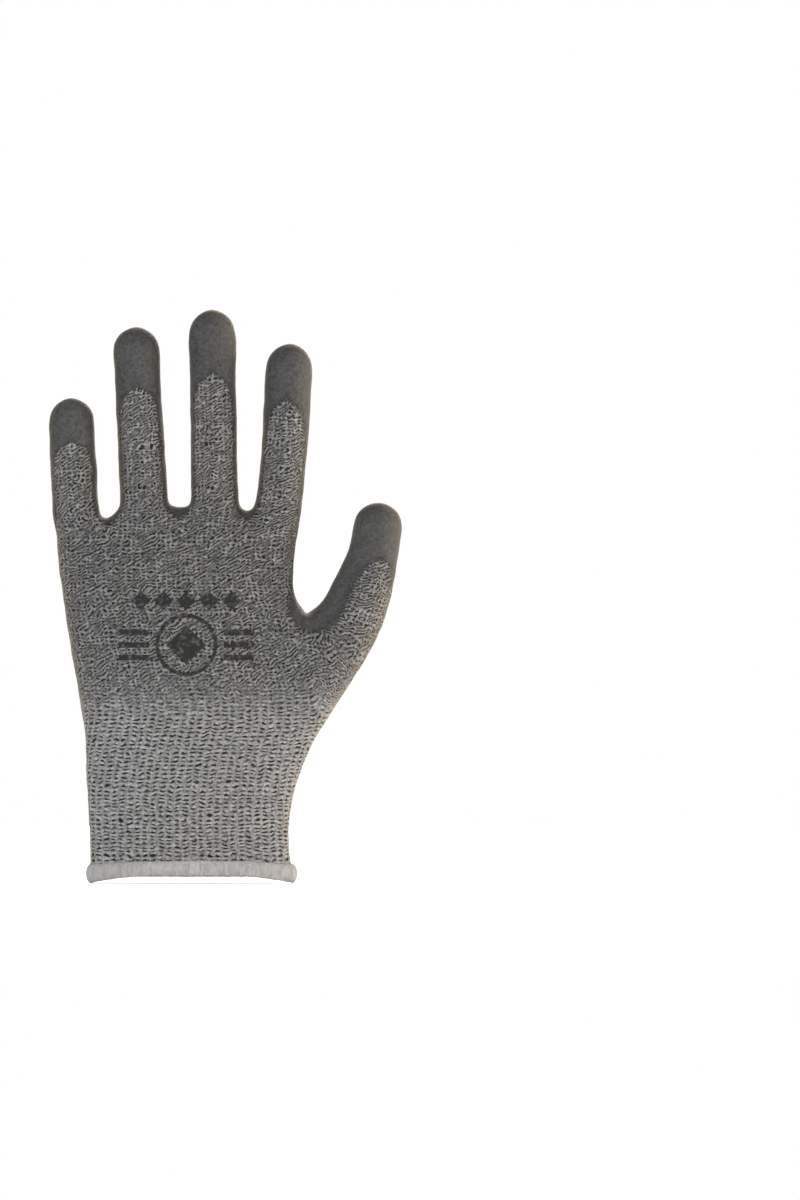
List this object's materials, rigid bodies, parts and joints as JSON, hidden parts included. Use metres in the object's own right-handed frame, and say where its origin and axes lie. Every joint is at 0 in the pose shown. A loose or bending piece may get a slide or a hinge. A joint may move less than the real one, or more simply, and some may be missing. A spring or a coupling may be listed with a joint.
{
  "type": "work glove",
  "caption": "Seamless knitted work glove for the left hand with a dipped palm and fingertips, a ribbed elastic wrist and an overlocked hem.",
  "frame": {"origin": "middle of the wrist opening, in the lower plane of the cuff's hem", "axes": "+Z along the fingers, +X towards the thumb side, +Y out of the palm, so the back of the hand faces -Y"},
  "size_m": [0.1472, 0.0274, 0.24],
  "materials": {
    "liner_knit": "melange jersey knit, light and dark grey",
    "crease_knit": "the same knit at a crease",
    "coating": "matt microfoam dip, dark grey",
    "hem_thread": "overlocked thread, off-white",
    "elastic": "rubber-cored yarn",
    "print_ink": "matt black print"
  },
  "bodies": {
    "cuff": {"cuff_knit": "liner_knit", "cuff_hem": "hem_thread", "cuff_elastic": "elastic", "wrist_coating": "coating", "wrist_band": "crease_knit"},
    "hand": {"hand_knit": "liner_knit", "palm_coating": "coating", "back_print": "print_ink", "pinky_base_band": "crease_knit", "ring_base_band": "crease_knit", "middle_base_band": "crease_knit", "index_base_band": "crease_knit", "thumb_base_band": "crease_knit"},
    "pinky_base": {"pinky_base_knit": "liner_knit", "pinky_base_coating": "coating", "pinky_middle_band": "crease_knit"},
    "pinky_middle": {"pinky_middle_knit": "liner_knit", "pinky_middle_coating": "coating", "pinky_tip_band": "crease_knit"},
    "pinky_tip": {"pinky_tip_knit": "liner_knit", "pinky_tip_coating": "coating"},
    "ring_base": {"ring_base_knit": "liner_knit", "ring_base_coating": "coating", "ring_middle_band": "crease_knit"},
    "ring_middle": {"ring_middle_knit": "liner_knit", "ring_middle_coating": "coating", "ring_tip_band": "crease_knit"},
    "ring_tip": {"ring_tip_knit": "liner_knit", "ring_tip_coating": "coating"},
    "middle_base": {"middle_base_knit": "liner_knit", "middle_base_coating": "coating", "middle_middle_band": "crease_knit"},
    "middle_middle": {"middle_middle_knit": "liner_knit", "middle_middle_coating": "coating", "middle_tip_band": "crease_knit"},
    "middle_tip": {"middle_tip_knit": "liner_knit", "middle_tip_coating": "coating"},
    "index_base": {"index_base_knit": "liner_knit", "index_base_coating": "coating", "index_middle_band": "crease_knit"},
    "index_middle": {"index_middle_knit": "liner_knit", "index_middle_coating": "coating", "index_tip_band": "crease_knit"},
    "index_tip": {"index_tip_knit": "liner_knit", "index_tip_coating": "coating"},
    "thumb_base": {"thumb_base_knit": "liner_knit", "thumb_base_coating": "coating", "thumb_tip_band": "crease_knit"},
    "thumb_tip": {"thumb_tip_knit": "liner_knit", "thumb_tip_coating": "coating"}
  },
  "joints": [
    {"name": "wrist_bend", "type": "hinge", "parent": "cuff", "child": "hand", "pos_m": [0, 0, 0.055], "axis": [-1, 0, 0], "range_deg": [-55, 55], "stiffness_Nm_per_rad": 0.3, "deforming": ["wrist_band"]},
    {"name": "pinky_base_bend", "type": "hinge", "parent": "hand", "child": "pinky_base", "pos_m": [-0.04885, 0.0035, 0.1572], "axis": [-0.9994, 0, -0.0345], "range_deg": [-15, 65], "stiffness_Nm_per_rad": 0.01, "deforming": ["pinky_base_band"]},
    {"name": "pinky_middle_bend", "type": "hinge", "parent": "pinky_base", "child": "pinky_middle", "pos_m": [-0.04933, 0.0035, 0.171], "axis": [-0.9994, 0, -0.0345], "range_deg": [0, 75], "stiffness_Nm_per_rad": 0.01, "deforming": ["pinky_middle_band"]},
    {"name": "pinky_tip_bend", "type": "hinge", "parent": "pinky_middle", "child": "pinky_tip", "pos_m": [-0.04986, 0.0035, 0.1865], "axis": [-0.9994, 0, -0.0345], "range_deg": [0, 35], "stiffness_Nm_per_rad": 0.01, "deforming": ["pinky_tip_band"]},
    {"name": "ring_base_bend", "type": "hinge", "parent": "hand", "child": "ring_base", "pos_m": [-0.02022, 0.0035, 0.16259], "axis": [-0.9991, 0, -0.043], "range_deg": [-15, 75], "stiffness_Nm_per_rad": 0.01, "deforming": ["ring_base_band"]},
    {"name": "ring_middle_bend", "type": "hinge", "parent": "ring_base", "child": "ring_middle", "pos_m": [-0.02121, 0.0035, 0.1855], "axis": [-0.9991, 0, -0.043], "range_deg": [0, 85], "stiffness_Nm_per_rad": 0.01, "deforming": ["ring_middle_band"]},
    {"name": "ring_tip_bend", "type": "hinge", "parent": "ring_middle", "child": "ring_tip", "pos_m": [-0.02218, 0.0035, 0.208], "axis": [-0.9991, 0, -0.043], "range_deg": [0, 45], "stiffness_Nm_per_rad": 0.01, "deforming": ["ring_tip_band"]},
    {"name": "middle_base_bend", "type": "hinge", "parent": "hand", "child": "middle_base", "pos_m": [0.00881, 0.0035, 0.1626], "axis": [-1, 0, 0.0012], "range_deg": [-15, 75], "stiffness_Nm_per_rad": 0.01, "deforming": ["middle_base_band"]},
    {"name": "middle_middle_bend", "type": "hinge", "parent": "middle_base", "child": "middle_middle", "pos_m": [0.00884, 0.0035, 0.1875], "axis": [-1, 0, 0.0012], "range_deg": [0, 85], "stiffness_Nm_per_rad": 0.01, "deforming": ["middle_middle_band"]},
    {"name": "middle_tip_bend", "type": "hinge", "parent": "middle_middle", "child": "middle_tip", "pos_m": [0.00887, 0.0035, 0.213], "axis": [-1, 0, 0.0012], "range_deg": [0, 45], "stiffness_Nm_per_rad": 0.01, "deforming": ["middle_tip_band"]},
    {"name": "index_base_bend", "type": "hinge", "parent": "hand", "child": "index_base", "pos_m": [0.03706, 0.0035, 0.16139], "axis": [-0.9988, 0, 0.0493], "range_deg": [-15, 75], "stiffness_Nm_per_rad": 0.01, "deforming": ["index_base_band"]},
    {"name": "index_middle_bend", "type": "hinge", "parent": "index_base", "child": "index_middle", "pos_m": [0.0381, 0.0035, 0.1825], "axis": [-0.9988, 0, 0.0493], "range_deg": [0, 85], "stiffness_Nm_per_rad": 0.01, "deforming": ["index_middle_band"]},
    {"name": "index_tip_bend", "type": "hinge", "parent": "index_middle", "child": "index_tip", "pos_m": [0.03911, 0.0035, 0.203], "axis": [-0.9988, 0, 0.0493], "range_deg": [0, 45], "stiffness_Nm_per_rad": 0.01, "deforming": ["index_tip_band"]},
    {"name": "thumb_base_bend", "type": "hinge", "parent": "hand", "child": "thumb_base", "pos_m": [0.068, 0.0035, 0.117], "axis": [-0.9468, 0, 0.3219], "range_deg": [-10, 55], "stiffness_Nm_per_rad": 0.015, "deforming": ["thumb_base_band"]},
    {"name": "thumb_tip_bend", "type": "hinge", "parent": "thumb_base", "child": "thumb_tip", "pos_m": [0.0748, 0.0035, 0.137], "axis": [-0.9646, 0, 0.2638], "range_deg": [0, 60], "stiffness_Nm_per_rad": 0.01, "deforming": ["thumb_tip_band"]}
  ]
}
